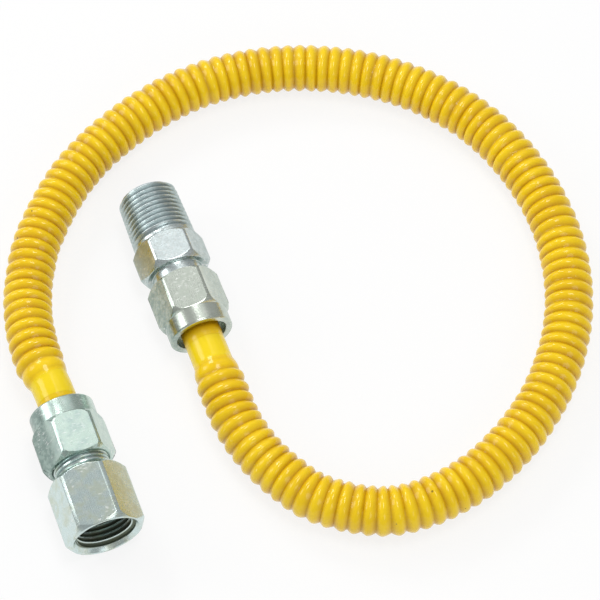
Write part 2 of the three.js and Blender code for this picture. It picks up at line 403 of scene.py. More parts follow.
@dataclass(frozen=True)
class ZincFinish:
    """Bright zinc plating over turned or milled steel, mottled by its passivation, with painted
    shade on its sides and in its threads' grooves.
    """

    plating: Plating
    seat: "Seat"
    face: Face
    turning_scale: float = 9000.0
    milling_stretch: Triple = (7000.0, 160.0, 7000.0)
    lines: Grain = Grain(1.0, 2.0, 0.6)
    clouds: Grain = Grain(260.0, 4.0, 0.6)
    stain_range: Pair = (0.42, 0.66)
    patches: Grain = Grain(620.0, 3.0, 0.55)
    bloom_range: Pair = (0.52, 0.72)
    bloom_share: float = 0.6
    specks: Grain = Grain(2400.0, 1.0)
    speck_range: Pair = (0.35, 0.65)
    fleck: Color = (0.42, 0.46, 0.42)
    stroke_stretch: Triple = (620.0, 2600.0, 620.0)
    strokes: Grain = Grain(1.0, 1.0)
    stroke_range: Pair = (0.62, 0.68)
    stroke_places: Grain = Grain(130.0, 1.0)
    stroke_place_range: Pair = (0.48, 0.56)
    nick: Color = (0.92, 0.93, 0.92)
    nick_share: float = 0.55
    nick_roughness: float = 0.10
    # Painted shade: a darker colour in patches on the sides towards -X and +X
    side_shade_color: Color = (0.25, 0.34, 0.31)
    side_shade_span: Pair = (0.0055, 0.0085)
    side_shade_patches: Pair = (0.38, 0.62)
    side_shade_parts: Triple = (0.5, 0.4, 0.45)
    groove_roughness: float = 0.45
    milled_roughness: float = 0.02
    cloud_roughness: float = 0.14
    line_roughness: float = 0.08
    relief_shares: Pair = (0.7, 0.3)
    bump: Pair = (0.00003, 0.30)

    def tool_lines(self, sheet: NodeSheet, along: Value, radius: Value) -> Value:
        """Gives the fine marks that the tool left, round the axis or along the flats.

        Args:
            sheet: The material's nodes.
            along: The place along the axis.
            radius: The distance from the axis.

        Returns:
            The marks, from 0 to 1.
        """
        if self.face is Face.MILLED:
            return sheet.noise(sheet.place(self.seat.face, self.milling_stretch), self.lines)
        inputs = {"X": along * self.turning_scale, "Y": radius * self.turning_scale, "Z": 0.0}
        return sheet.noise(sheet.node("ShaderNodeCombineXYZ", {}, inputs).outputs[0], self.lines)

    def material(self) -> bpy.types.Material:
        """Builds the plating.

        Returns:
            The material.
        """
        look = self.plating
        sheet = NodeSheet(f"{look.name}_{self.face.name.lower()}")
        here = sheet.place(self.seat.face)
        split = sheet.node("ShaderNodeSeparateXYZ", {}, {"Vector": here})
        across, along, up = (Value(sheet, split.outputs[i]) for i in range(3))
        radius = (across * across + up * up) ** 0.5
        lines = self.tool_lines(sheet, along, radius)
        cloud = sheet.noise(here, self.clouds)
        patch = sheet.noise(here, self.patches)
        grain = sheet.noise(here, self.specks).between(*self.speck_range)
        strokes = sheet.noise(sheet.place(self.seat.face, self.stroke_stretch), self.strokes)
        places = sheet.noise(here, self.stroke_places).between(*self.stroke_place_range)
        scratch = strokes.between(*self.stroke_range) * places
        stained = sheet.blend(cloud.between(*self.stain_range), look.clean, look.stain)
        blooming = patch.between(*self.bloom_range) * self.bloom_share
        bloomed = sheet.blend(blooming, stained, look.bloom)
        # Painted shade on the sides towards -X and +X, in patches and clouds
        sides = ((across * -1.0).between(*self.side_shade_span) * look.side_shade_shares[0]
                 + across.between(*self.side_shade_span) * look.side_shade_shares[1])
        patched, clouded, even = self.side_shade_parts
        side_shade = sides * (patch.between(*self.side_shade_patches) * patched + cloud * clouded + even)
        side_shaded = sheet.blend(side_shade, bloomed, self.side_shade_color)
        grained = sheet.blend(grain * look.grain_share, side_shaded, self.fleck)
        color = sheet.blend(scratch * self.nick_share, grained, self.nick)
        matt = scratch * self.nick_roughness
        # Painted shade in the threads' grooves
        for thread in look.threads if self.face is Face.TURNED else ():
            share = thread.share(along * self.seat.outward, radius)
            color = sheet.blend(share, color, thread.color)
            matt = matt + share * self.groove_roughness
        base = look.roughness + (self.milled_roughness if self.face is Face.MILLED else 0.0)
        roughness = (base + (cloud - 0.5) * self.cloud_roughness
                     + (lines - 0.5) * self.line_roughness + matt)
        sheet.feed(sheet.surface, {"Base Color": color, "Metallic": 1.0, "Roughness": roughness})
        lined, patchy = self.relief_shares
        sheet.relief(lines * lined + patch * patchy, *self.bump)
        return sheet.material


# Shapes


def unique(items: Iterable) -> list:
    """Lists each item once, in the order of its first place."""
    return list(dict.fromkeys(items))


def interpolate(table: Sequence[Pair], place: float) -> float:
    """Reads a value off a broken line.

    Args:
        table: Places and values in rising order of place.
        place: Where to read it.

    Returns:
        The value there, held at the ends.
    """
    if place <= table[0][0]:
        return table[0][1]
    for (p0, v0), (p1, v1) in zip(table, table[1:]):
        if place <= p1:
            return v0 + (v1 - v0) * (place - p0) / (p1 - p0)
    return table[-1][1]


class Workpiece:
    """A mesh in the making, turned about the Y axis, milled, bevelled and put in its place."""

    def __init__(self) -> None:
        """Starts with an empty mesh."""
        self.bm = bmesh.new()

    def turn(self, outline: Outline, closed: bool = False, steps: int = AXIS_STEPS) -> None:
        """Turns an outline about the axis.

        Args:
            outline: Points of radius and place along the axis, with a rounding as a third number.
            closed: Whether the last point joins the first.
            steps: Steps in the full turn.
        """
        bm = self.bm
        verts = [bm.verts.new((p[0], p[1], 0.0)) for p in outline]
        pairs = list(zip(verts, verts[1:])) + ([(verts[-1], verts[0])] if closed else [])
        edges = [bm.edges.new(pair) for pair in pairs]
        rounding = {v: p[2] for v, p in zip(verts, outline) if len(p) > 2}
        own = list(verts)
        for vert, size in rounding.items():
            made = bmesh.ops.bevel(bm, geom=[vert], offset=size, segments=CORNER_SEGMENTS,
                                   profile=ROUND_PROFILE, affect="VERTICES", material=-1)
            own += made["verts"]
        own = unique(v for v in own if v.is_valid)
        edges = unique(e for v in own for e in v.link_edges)
        bmesh.ops.spin(bm, geom=own + edges, cent=(0, 0, 0), axis=(0, 1, 0), dvec=(0, 0, 0),
                       angle=math.tau, steps=steps, use_merge=True, use_duplicate=False)

    def merge(self, verts: Iterable[bmesh.types.BMVert] | None = None,
              distance: float = MERGE) -> None:
        """Joins the given points, or all, that lie nearer together than the distance."""
        bmesh.ops.remove_doubles(self.bm, verts=list(verts or self.bm.verts), dist=distance)

    def mill(self, across_flats: float, roll: float) -> None:
        """Mills six flats on the closed mesh and fills them.

        Args:
            across_flats: Distance between opposite flats.
            roll: Turn of the flats about the axis in degrees, from one on top towards +X.
        """
        bm = self.bm
        for side in range(HEX_SIDES):
            angle = math.radians(roll + side * 360 / HEX_SIDES)
            normal = Vector((math.sin(angle), 0.0, math.cos(angle)))
            geom = bm.verts[:] + bm.edges[:] + bm.faces[:]
            cut = bmesh.ops.bisect_plane(bm, geom=geom, dist=CUT_TOLERANCE, clear_outer=True,
                                         plane_co=normal * across_flats / 2, plane_no=normal)
            edges = [e for e in cut["geom_cut"]
                     if isinstance(e, bmesh.types.BMEdge) and e.is_boundary]
            bmesh.ops.edgeloop_fill(bm, edges=edges, mat_nr=Face.MILLED.value)

    def soften_flats(self, width: float, corner: float) -> None:
        """Rounds the edges of the milled flats and fills what the rounding leaves open.

        Args:
            width: The rounding's width.
            corner: The radius that no point may stand outside.
        """
        bm = self.bm
        self.merge(unique(v for f in self.flats() for v in f.verts), width / 2)
        edges = unique(e for f in self.flats() for e in f.edges)
        bmesh.ops.bevel(bm, geom=edges, offset=width, segments=EDGE_SEGMENTS, profile=ROUND_PROFILE,
                        affect="EDGES", material=Face.TURNED.value, clamp_overlap=False)
        bmesh.ops.holes_fill(bm, edges=[e for e in bm.edges if e.is_boundary], sides=0)
        for vert in bm.verts:
            x, y, z = vert.co
            radius = math.hypot(x, z)
            if radius > corner:
                vert.co = Vector((x * corner / radius, y, z * corner / radius))

    def flats(self) -> list[bmesh.types.BMFace]:
        """Lists the milled faces."""
        return [f for f in self.bm.faces if f.material_index == Face.MILLED.value]

    def finish(self, name: str, matrix: Matrix, materials: Sequence[bpy.types.Material],
               crease: float = CREASE) -> bpy.types.Object:
        """Makes the object, with outward faces and smooth shading between creases.

        Args:
            name: The piece's name.
            matrix: The place of the mesh.
            materials: Its materials in slot order.
            crease: Angle in degrees above which an edge stays sharp.

        Returns:
            The object, at the origin.
        """
        bm = self.bm
        bmesh.ops.dissolve_degenerate(bm, dist=DEGENERATE, edges=bm.edges[:])
        bmesh.ops.recalc_face_normals(bm, faces=bm.faces[:])
        for face in bm.faces:
            face.smooth = face.material_index != Face.MILLED.value
        for edge in bm.edges:
            edge.smooth = edge.calc_face_angle(0.0) < math.radians(crease)
        bmesh.ops.transform(bm, matrix=matrix, verts=bm.verts[:])
        open_edges = sum(1 for e in bm.edges if not e.is_manifold)
        mesh = bpy.data.meshes.new(name)
        bm.to_mesh(mesh)
        bm.free()
        for material in materials:
            mesh.materials.append(material)
        made = bpy.data.objects.new(name, mesh)
        bpy.context.scene.collection.objects.link(made)
        LOG.info("%s: %d faces, %d open edges", name, len(mesh.polygons), open_edges)
        return made


@dataclass(frozen=True)
class Thread:
    """A helical right-hand thread between two places along the axis.

    The low and high tables bound the radius, so that they turn the ends down to plain rings.
    """

    pitch: float
    crest: float
    root: float
    start: float
    end: float
    low: tuple[Pair, ...]
    high: tuple[Pair, ...]
    taper: float = 0.0
    flank_slope: float = math.tan(math.radians(30))
    least_flat: float = 0.08

    def profile(self) -> list[Pair]:
        """Gives one pitch of the thread.

        Returns:
            Points of radius and place along the axis.
        """
        flank = abs(self.crest - self.root) * self.flank_slope
        flat = max(self.least_flat, (self.pitch - 2 * flank) / 2)
        flank = (self.pitch - 2 * flat) / 2
        places = (0.0, flat / 2, flat / 2 + flank, flat / 2 + flank + flat,
                  self.pitch - flat / 2, self.pitch)
        radii = (self.root, self.root, self.crest, self.crest, self.root, self.root)
        return list(zip(radii, places))

    def cut(self, work: Workpiece) -> None:
        """Adds the thread's surface, ending in a ring at each end.

        The coil starts a turn early and ends a turn late, and its ends are pushed into the rings.

        Args:
            work: The piece that gets it.
        """
        bm = work.bm
        before = set(bm.verts)
        turns = math.ceil((self.end - self.start) / self.pitch) + 2
        first = self.pitch * (math.floor(self.start / self.pitch) - 1)
        verts = [bm.verts.new((radius, first + place, 0.0)) for radius, place in self.profile()]
        edges = [bm.edges.new(pair) for pair in zip(verts, verts[1:])]
        bmesh.ops.spin(bm, geom=verts + edges, cent=(0, 0, 0), axis=(0, 1, 0),
                       dvec=(0, self.pitch / AXIS_STEPS, 0), angle=math.tau, steps=AXIS_STEPS,
                       use_merge=False, use_duplicate=False)
        coil = [v for v in bm.verts if v not in before]
        parts = unique([*coil, *(e for v in coil for e in v.link_edges),
                        *(f for v in coil for f in v.link_faces)])
        for turn in range(1, turns):
            copied = bmesh.ops.duplicate(bm, geom=parts)["geom"]
            bmesh.ops.translate(bm, vec=(0, self.pitch * turn, 0),
                                verts=[v for v in copied if isinstance(v, bmesh.types.BMVert)])
        work.merge([v for v in bm.verts if v not in before])
        own = [v for v in bm.verts if v not in before]
        for vert in own:
            flat = Vector((vert.co.x, 0.0, vert.co.z))
            along = min(max(vert.co.y, self.start), self.end)
            radius = flat.length + self.taper * (self.end - along)
            radius = min(max(radius, interpolate(self.low, along)), interpolate(self.high, along))
            vert.co = flat.normalized() * radius + Vector((0.0, along, 0.0))
        work.merge(own)


@dataclass(frozen=True)
class Seat:
    """A fitting's place: the middle of its nut's collar face, and which way it points along Y."""

    face: Vector
    outward: int

    def matrix(self) -> Matrix:
        """Gives the move from the workpiece's millimetres to the frame."""
        turn = Matrix.Rotation(0.0 if self.outward > 0 else math.pi, 4, "Z")
        return Matrix.Translation(self.face) @ turn @ Matrix.Scale(MM, 4)


@dataclass(frozen=True)
class HexSize:
    """A hexagon's sizes, shared by the nuts and the adapters."""

    across_flats: float
    roll: float
    corner_turn: float = 0.25
    corner_wear: float = 0.0

    @property
    def turned_corner(self) -> float:
        """Radius of the worn corners."""
        return self.corner - self.corner_wear

    @property
    def corner(self) -> float:
        """Radius to which the corners are turned down."""
        return self.across_flats / 2 / math.cos(math.pi / HEX_SIDES) - self.corner_turn

    def rest_height(self) -> float:
        """Gives the height of the axis when the lowest flat's lowest edge is on the floor."""
        half_flat = math.acos(self.across_flats / 2 / self.corner)
        return self.corner * math.cos(half_flat - math.radians(abs(self.roll)))


FEMALE_NUT = HexSize(22.2, 8.5)
FEMALE_HEX = HexSize(24.2, -6.5, corner_wear=0.15)
MALE_NUT = HexSize(22.2, -3.5)
MALE_HEX = HexSize(22.2, -0.6)


class Route:
    """The tube's centre line, a centripetal curve through the points of the solids' source."""

    HALF_WIDTH = 0.0935
    HALF_DEPTH = 0.0896
    FLOOR_HEIGHT = 0.00825
    DIVISIONS = 160
    REACH_BACK = 3
    REACH_ON = 2
    FEMALE_STRETCH = (
        (-0.94759, -0.30525, 1), (-0.94759, -0.2042, 1), (-0.9497, -0.1004, 1),
        (-0.9604, 0, 0.933), (-0.9572, 0.1116, 0.744), (-0.9305, 0.2679, 0.344),
        (-0.8727, 0.4252, 0.122), (-0.7957, 0.5625, 0.033),
    )
    LOOP_ON_THE_FLOOR = (
        (-0.5861, 0.7868, 0), (-0.3283, 0.9308, 0), (-0.0492, 1, 0), (0.231, 0.9799, 0),
        (0.4973, 0.8772, 0), (0.7251, 0.7054, 0), (0.8984, 0.4676, 0), (0.9914, 0.1763, 0),
        (1, -0.1384, 0), (0.9166, -0.442, 0), (0.7476, -0.6987, 0), (0.5241, -0.8839, 0),
        (0.2706, -0.9877, 0), (0.0118, -0.9866, 0),
    )
    MALE_STRETCH = (
        (-0.2043, -0.8504, 0.016), (-0.2813, -0.7388, 0.11), (-0.338, -0.615, 0.298),
        (-0.3722, -0.4777, 0.58), (-0.3786, -0.3292, 0.906), (-0.377, -0.2009, 1),
        (-0.377, -0.0893, 1), (-0.377, 0.01563, 1),
    )

    def __init__(self) -> None:
        """Places the points and measures the curve."""
        female = max(FEMALE_NUT.rest_height(), FEMALE_HEX.rest_height()) * MM
        male = max(MALE_NUT.rest_height(), MALE_HEX.rest_height()) * MM
        self.points = [
            *self.placed(self.FEMALE_STRETCH, female),
            *self.placed(self.LOOP_ON_THE_FLOOR, self.FLOOR_HEIGHT),
            *self.placed(self.MALE_STRETCH, male),
        ]
        self.samples = self.sampled()
        self.lengths = [0.0]
        for a, b in zip(self.samples, self.samples[1:]):
            self.lengths.append(self.lengths[-1] + (b - a).length)
        self.length = self.lengths[-1]

    def placed(self, shares: Sequence[Triple], axis_height: float) -> list[Vector]:
        """Turns shares of the half width, half depth and rise to the axis into points in metres."""
        return [Vector((x * self.HALF_WIDTH, y * self.HALF_DEPTH,
                        self.FLOOR_HEIGHT + rise * (axis_height - self.FLOOR_HEIGHT)))
                for x, y, rise in shares]

    def sampled(self) -> list[Vector]:
        """Draws the curve finely.

        Returns:
            Points along it, at most a fraction of a millimetre apart.
        """
        points = self.points
        ends = [2 * points[0] - points[1], *points, 2 * points[-1] - points[-2]]
        drawn = [points[0]]
        for p0, p1, p2, p3 in zip(ends, ends[1:], ends[2:], ends[3:]):
            d0, d1, d2 = ((b - a).length ** 0.5 for a, b in ((p0, p1), (p1, p2), (p2, p3)))
            m1 = ((p1 - p0) / d0 - (p2 - p0) / (d0 + d1) + (p2 - p1) / d1) * d1
            m2 = ((p2 - p1) / d1 - (p3 - p1) / (d1 + d2) + (p3 - p2) / d2) * d1
            for step in range(1, self.DIVISIONS + 1):
                t = step / self.DIVISIONS
                drawn.append((2 * t ** 3 - 3 * t ** 2 + 1) * p1 + (t ** 3 - 2 * t ** 2 + t) * m1
                             + (3 * t ** 2 - 2 * t ** 3) * p2 + (t ** 3 - t ** 2) * m2)
        return drawn

    def at(self, distance: float) -> tuple[Vector, Vector]:
        """Gives the place and direction at a distance along the curve.

        Args:
            distance: Metres from the lip in the female nut.

        Returns:
            The point and the unit tangent.
        """
        last = len(self.samples) - 1
        index = min(max(bisect_right(self.lengths, distance), 1), last)
        near, far = self.lengths[index - 1:index + 1]
        place = self.samples[index - 1].lerp(self.samples[index], (distance - near) / (far - near))
        before = self.samples[max(index - self.REACH_BACK, 0)]
        after = self.samples[min(index + self.REACH_ON, last)]
        return place, (after - before).normalized()

    def path(self, count: int) -> list[Vector]:
        """Gives so many evenly spaced points along the curve, from lip to lip."""
        return [self.at(self.length * i / (count - 1))[0] for i in range(count)]


@dataclass
class CorrugatedTube:
    """The coated tube: flares, plain cuffs and rings, bent along the route."""

    route: Route
    crown: float = 8.4
    valley: float = 7.2
    end_crown: float = 7.6
    cuff: float = 6.75
    wall: float = 0.7
    pitch: float = 4.17
    cuff_length: float = 22.0
    cuff_steps: int = 14
    last_cuff_step: float = 1.2
    lip: float = 8.4
    sides: int = 64
    arc_steps: int = 10
    bead_power: float = 1.1
    wobble: float = 0.08
    wobble_waves: Triple = (12.9898, 4.1, 3.7)
    lean: float = 0.34
    lean_waves: tuple[Pair, ...] = ((2.4, 0.83), (1.3, 2.11))
    crease: float = 70.0
    # Painted shade: its least share on the rings, its reach on a cuff from a nut's mouth, and
    # lighter grooves near the ends
    least_shade: float = 0.12
    mouth_shade: float = 3.6
    end_shade: float = 0.45
    end_fade: float = 12.0
    exit_from_lip: float = 8.97
    diameter: float = 16.5
    path_points: int = 240

    def ring_radius(self, ring: int, count: int) -> float:
        """Gives a ring's crown radius, a little uneven from ring to ring.

        Args:
            ring: Its number from the female end.
            count: How many rings there are.

        Returns:
            The radius.
        """
        if ring in (0, count - 1):
            return self.end_crown
        fast, swing, slow = self.wobble_waves
        wave = math.sin(ring * fast + swing * math.sin(ring * slow))
        return self.crown - self.wobble * (0.5 + 0.5 * wave)

    def outline(self, length: float) -> list[Pair]:
        """Gives the closed outline of the straight tube.

        Args:
            length: Its length from lip to lip.

        Returns:
            Points of radius and place along the axis.
        """
        skin = self.wall / math.sqrt(2)
        flare = self.lip + skin - self.cuff
        corrugated = length - 2 * self.cuff_length
        count = round(corrugated / self.pitch)
        pitch = corrugated / count
        plain = [flare + (self.cuff_length - self.last_cuff_step - flare) * i / self.cuff_steps
                 for i in range(self.cuff_steps + 1)]
        near = [(self.lip - skin, 0.0), (self.lip, skin), *((self.cuff, y) for y in plain)]
        points = near + [(self.valley, self.cuff_length)]
        for ring in range(count):
            start = self.cuff_length + ring * pitch
            height = self.ring_radius(ring, count) - self.valley
            for step in range(1, self.arc_steps + 1):
                share = step / self.arc_steps
                lift = max(math.sin(math.pi * share), 0.0) ** self.bead_power
                points.append((self.valley + height * lift, start + pitch * share))
        points += [(radius, length - along) for radius, along in reversed(near)]
        bore = self.cuff - self.wall
        bore_start = self.lip - skin - bore
        steps = count // 2
        inside = [self.cuff_length + (count * pitch) * i / steps for i in range(steps, -1, -1)]
        return [*points, (bore, length - bore_start), *((bore, y) for y in inside),
                (bore, bore_start)]

    def bend(self, work: Workpiece) -> None:
        """Bends the straight tube along the route and notes each point's share of painted shade, in
        the grooves and near the nuts' mouths.

        Args:
            work: The straight tube in millimetres, which becomes metres.
        """
        depth = work.bm.verts.layers.float.new(PAINTED_SHADE_ATTRIBUTE)
        up = Vector((0, 0, 1))
        frames: dict[int, tuple[Vector, Vector, Vector]] = {}
        for vert in work.bm.verts:
            x, along, z = vert.co
            radius = math.hypot(x, z)
            # Painted shade for the coating, in the grooves and at the nuts' mouths
            vert[depth] = self.shade(along, radius)
            key = round(along * KEYS_PER_MM)
            if key not in frames:
                place, tangent = self.route.at(along * MM)
                side = tangent.cross(up).normalized()
                frames[key] = (place, side, side.cross(tangent))
            place, side, lift = frames[key]
            vert.co = (place + side * (x * MM) + lift * (z * MM)
                       + self.leaned(Vector((x, along, z)), radius) * side.cross(lift))
            vert.co.z = max(vert.co.z, 0.0)

    def shade(self, along: float, radius: float) -> float:
        """Gives a point's share of painted shade: how deep it lies in a groove, or how near a nut's
        mouth it lies on a cuff.

        Args:
            along: The point's place along the straight tube.
            radius: Its distance from the axis.

        Returns:
            The share, from 0 to 1.
        """
        from_lip = min(along, self.route.length / MM - along)
        inset = from_lip - self.cuff_length
        if inset < 0 or radius <= self.cuff - self.wall / 2:
            return min(max(1.0 - (from_lip - self.exit_from_lip) / self.mouth_shade, 0.0), 1.0)
        crest = self.end_crown if inset < self.pitch else self.crown
        near_end = min(self.end_shade + inset / self.end_fade, 1.0)
        deep = (crest - radius) / (crest - self.valley) * near_end
        return min(max(deep, self.least_shade), 1.0)

    def leaned(self, point: Vector, radius: float) -> float:
        """Gives how far a point of a ring leans along the tube, as hand-bent rings do.

        Args:
            point: The point of the straight tube in millimetres.
            radius: Its distance from the axis.

        Returns:
            The shift in metres, against the tube's direction.
        """
        ring = (point.y - self.cuff_length) // self.pitch
        turn = sum(size * math.sin(ring * rate) for size, rate in self.lean_waves)
        high = min(max((radius - self.valley) / (self.crown - self.valley), 0.0), 1.0)
        side = point.x * math.cos(turn) + point.z * math.sin(turn)
        return self.lean * MM * high * side / max(radius, 1.0)

    def build(self, material: bpy.types.Material) -> bpy.types.Object:
        """Builds and dresses the tube.

        Args:
            material: The coating.

        Returns:
            The piece, which stands for the solid tube.
        """
        work = Workpiece()
        work.turn(self.outline(self.route.length / MM), closed=True, steps=self.sides)
        self.bend(work)
        piece = work.finish("gas_hose_tube", Matrix.Identity(4), [material], self.crease)
        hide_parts("corrugated_tube")
        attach(piece, "hose")
        return piece

    def declare(self) -> None:
        leaving = self.route.at(self.exit_from_lip * MM)[0]
        self.diameter * MM
        [tuple(p) for p in self.route.path(self.path_points)]


@dataclass
class Fitting:
    """What nuts and adapters share: names, place, hexagon, plating and the last steps."""

    name: str
    node: str
    body: str
    seat: Seat
    size: HexSize
    slot: Finish
    plating: Plating
    edge: float = 0.16
    flare_pitch: float = 1.5875

    def dress(self, work: Workpiece) -> bpy.types.Object:
        """Args:
            work: The turned and threaded piece.

        Returns:
            The piece, which stands for its solid.
        """
        work.merge()
        work.mill(self.size.across_flats, self.seat.outward * self.size.roll)
        work.soften_flats(self.edge, self.size.turned_corner)
        materials = [ZincFinish(self.plating, self.seat, face).material() for face in Face]
        piece = work.finish(self.name, self.seat.matrix(), materials)
        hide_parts(self.node)
        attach(piece, self.body)
        return piece


@dataclass
class FlareNut(Fitting):
    """A flare nut: turned collar, hexagon, throat round the cuff, seat and internal thread."""

    length: float = 21.4
    collar: float = 11.0
    collar_length: float = 6.3
    collar_chamfer: float = 0.45
    collar_fillet: float = 0.1
    shoulder: float = 3.0
    shoulder_curve: tuple[Pair, ...] = (
        (0.30, 0.07), (0.58, 0.21), (0.80, 0.43), (0.94, 0.70), (1.0, 1.0))
    collar_bore: float = 8.65
    bore_depth: float = 4.5
    bore_chamfer: float = 0.35
    throat: float = 7.05
    throat_end: float = 6.7
    hex_chamfer: float = 1.6
    face_radius: float = 10.7
    mouth_clearance: float = 0.25
    mouth_chamfer: float = 0.5
    thread_crest: float = 8.85
    thread_root: float = 9.82
    thread_start: float = 9.6
    thread_relief: float = 0.15
    lead_in: float = 1.0
    crest_fade: float = 0.6
    root_fade: float = 0.1

    def build(self) -> bpy.types.Object:
        """Builds and dresses the nut.

        Returns:
            The piece.
        """
        corner = self.size.turned_corner
        mouth = self.thread_root + self.mouth_clearance
        inner = mouth - self.mouth_chamfer
        shoulder_start = self.collar_length - self.collar_fillet
        first = (self.thread_start, self.thread_crest + self.thread_relief)
        end = self.length - self.mouth_chamfer
        work = Workpiece()
        work.turn([
            (first[1], first[0]), (self.throat, self.throat_end),
            (self.throat, self.bore_depth), (self.collar_bore, self.bore_depth),
            (self.collar_bore, self.bore_chamfer), (self.collar_bore + self.bore_chamfer, 0.0),
            (self.collar - self.collar_chamfer, 0.0, SLIGHT),
            (self.collar, self.collar_chamfer, SOFT), (self.collar, shoulder_start, HAIR),
            *((self.collar + (corner - self.collar) * rise, shoulder_start + self.shoulder * run)
              for rise, run in self.shoulder_curve),
            (corner, self.length - self.hex_chamfer, ROUND), (self.face_radius, self.length, SOFT),
            (mouth, self.length, FINE), (inner, end),
        ])
        lead = self.thread_start + self.lead_in
        Thread(self.flare_pitch, self.thread_crest, self.thread_root, self.thread_start, end,
               low=(first, (lead, self.thread_crest), (end - self.crest_fade, self.thread_crest),
                    (end, inner)),
               high=(first, (lead, self.thread_root), (end - self.root_fade, self.thread_root),
                     (end, inner))).cut(work)
        return self.dress(work)


@dataclass
class Adapter(Fitting):
    """What both adapters share: gas bore, nose cone and flare thread."""

    gas_bore: float = 4.75
    nose_tip: float = 5.65
    nose_start: float = 7.138
    nose_end: float = 10.888
    flare_crest: float = 9.4
    flare_root: float = 8.7
    flare_fade: float = 0.7
    pipe_pitch: float = 1.814

    @property
    def cone_end(self) -> float:
        """Place along the axis where the nose cone meets the flare thread."""
        return self.nose_end - (self.flare_crest - self.flare_root)

    def nose(self) -> Outline:
        """Gives the outline from the bore over the nose cone to the flare thread's start."""
        return [(self.gas_bore, self.nose_start), (self.nose_tip, self.nose_start, FINE),
                (self.flare_root, self.cone_end)]

    def flare_thread(self, work: Workpiece, end: float, end_radius: float) -> None:
        """Cuts the flare thread.

        Args:
            work: The piece that gets it.
            end: Where it ends along the axis.
            end_radius: The ring's radius there.
        """
        start, fade = self.cone_end, self.flare_fade
        first, last = (start, self.flare_root), (end, end_radius)
        Thread(self.flare_pitch, self.flare_crest, self.flare_root, start, end,
               low=(first, (end - fade, self.flare_root), last),
               high=(first, (start + fade, self.flare_crest), (end - fade, self.flare_crest),
                     last)).cut(work)


@dataclass
class FemaleAdapter(Adapter):
    """The adapter with the internal taper pipe thread."""

    hex_start: float = 25.9
    hex_length: float = 22.1
    hex_chamfers: Pair = (1.8, 1.7)
    undercut: float = 0.9
    back_radius: float = 11.6
    face_radius: float = 12.1
    countersink: float = 11.3
    countersink_slope: float = 0.95
    countersink_depth: float = 1.2
    socket_crest: float = 9.25
    socket_root: float = 10.45
    socket_depth: float = 15.0
    socket_relief: float = 0.35
    relief_length: float = 1.2
    full_thread_from: float = 3.0
    mouth_fades: Pair = (0.8, 0.01)
    mouth_rise: float = 0.4
    drill_point: float = 2.8

    def build(self) -> bpy.types.Object:
        """Builds and dresses the adapter.

        Returns:
            The piece.
        """
        corner = self.size.turned_corner
        back, front = self.hex_chamfers
        face = self.hex_start + self.hex_length
        neck = self.hex_start - self.undercut
        mouth = face - self.countersink_depth
        inner = self.countersink - self.countersink_slope
        work = Workpiece()
        work.turn(self.nose())
        self.flare_thread(work, neck, self.flare_root)
        work.turn([
            (self.flare_root, neck), (self.flare_root, self.hex_start, ROUND),
            (self.back_radius, self.hex_start, SOFT), (corner, self.hex_start + back, SLIGHT),
            (corner, face - front, SLIGHT), (self.face_radius, face, SOFT),
            (self.countersink, face, SLIGHT), (inner, mouth),
        ])
        bottom = face - self.socket_depth
        relief = self.socket_crest + self.socket_relief
        start, full = bottom + self.relief_length, bottom + self.full_thread_from
        crest_fade, root_fade = self.mouth_fades
        Thread(self.pipe_pitch, self.socket_crest, self.socket_root, start, mouth,
               low=((start, relief), (full, self.socket_crest),
                    (mouth - crest_fade, self.socket_crest), (mouth, inner)),
               high=((start, relief), (full, self.socket_root),
                     (mouth - root_fade, self.socket_root + self.mouth_rise),
                     (mouth, inner))).cut(work)
        work.turn([(relief, start), (relief, bottom, ROUND),
                   (self.gas_bore, bottom - self.drill_point), (self.gas_bore, self.nose_start)])
        return self.dress(work)


@dataclass
class MaleAdapter(Adapter):
    """The adapter with the external taper pipe thread."""

    neck_start: float = 21.4
    neck: float = 8.9
    hex_start: float = 25.2
    hex_length: float = 11.9
    hex_face: float = 11.1
    hex_chamfers: Pair = (1.9, 1.6)
    back_step: float = 0.3
    band: float = 1.1
    band_chamfer: float = 0.25
    thread_length: float = 19.8
    tip_radius: float = 10.4
    thread_depth: float = 1.3
    lead_ins: Triple = (0.3, 0.9, 2.4)
    tip_fade: float = 0.3
    tip_chamfer: float = 1.15
    tip_rise: float = 0.04
    ring_rise: float = 0.05
    bore_chamfer: Pair = (0.4, 0.5)
    pipe_taper: float = 1 / 32

    def build(self) -> bpy.types.Object:
        """Builds and dresses the adapter.

        Returns:
            The piece.
        """
        corner = self.size.turned_corner
        back, front = self.hex_chamfers
        hex_end = self.hex_start + self.hex_length
        thread_start = hex_end + self.band
        tip = thread_start + self.thread_length
        base = self.tip_radius + self.thread_length * self.pipe_taper
        work = Workpiece()
        work.turn(self.nose())
        self.flare_thread(work, self.neck_start, self.neck)
        start, narrow = thread_start + self.band_chamfer, base - self.band_chamfer
        work.turn([
            (self.neck, self.neck_start), (self.neck, self.hex_start, ROUND),
            (self.hex_face - self.back_step, self.hex_start, SOFT),
            (corner, self.hex_start + back, SLIGHT), (corner, hex_end - front, SLIGHT),
            (self.hex_face, hex_end, SLIGHT), (base, hex_end), (base, thread_start, SLIGHT),
            (narrow, start),
        ])
        root = self.tip_radius - self.thread_depth
        end_ring = root + self.ring_rise
        short, middle, full = self.lead_ins
        Thread(self.pipe_pitch, self.tip_radius, root, start, tip,
               low=((start, narrow), (start + middle, base - middle), (start + full, root),
                    (tip - self.tip_fade, root), (tip, end_ring)),
               high=((start, narrow), (start + short, base),
                     (tip - self.tip_chamfer, self.tip_radius + self.tip_rise), (tip, end_ring)),
               taper=self.pipe_taper).cut(work)
        wide, deep = self.bore_chamfer
        work.turn([(end_ring, tip), (self.gas_bore + wide, tip, SLIGHT),
                   (self.gas_bore, tip - deep), (self.gas_bore, self.nose_start)])
        return self.dress(work)


# The studio


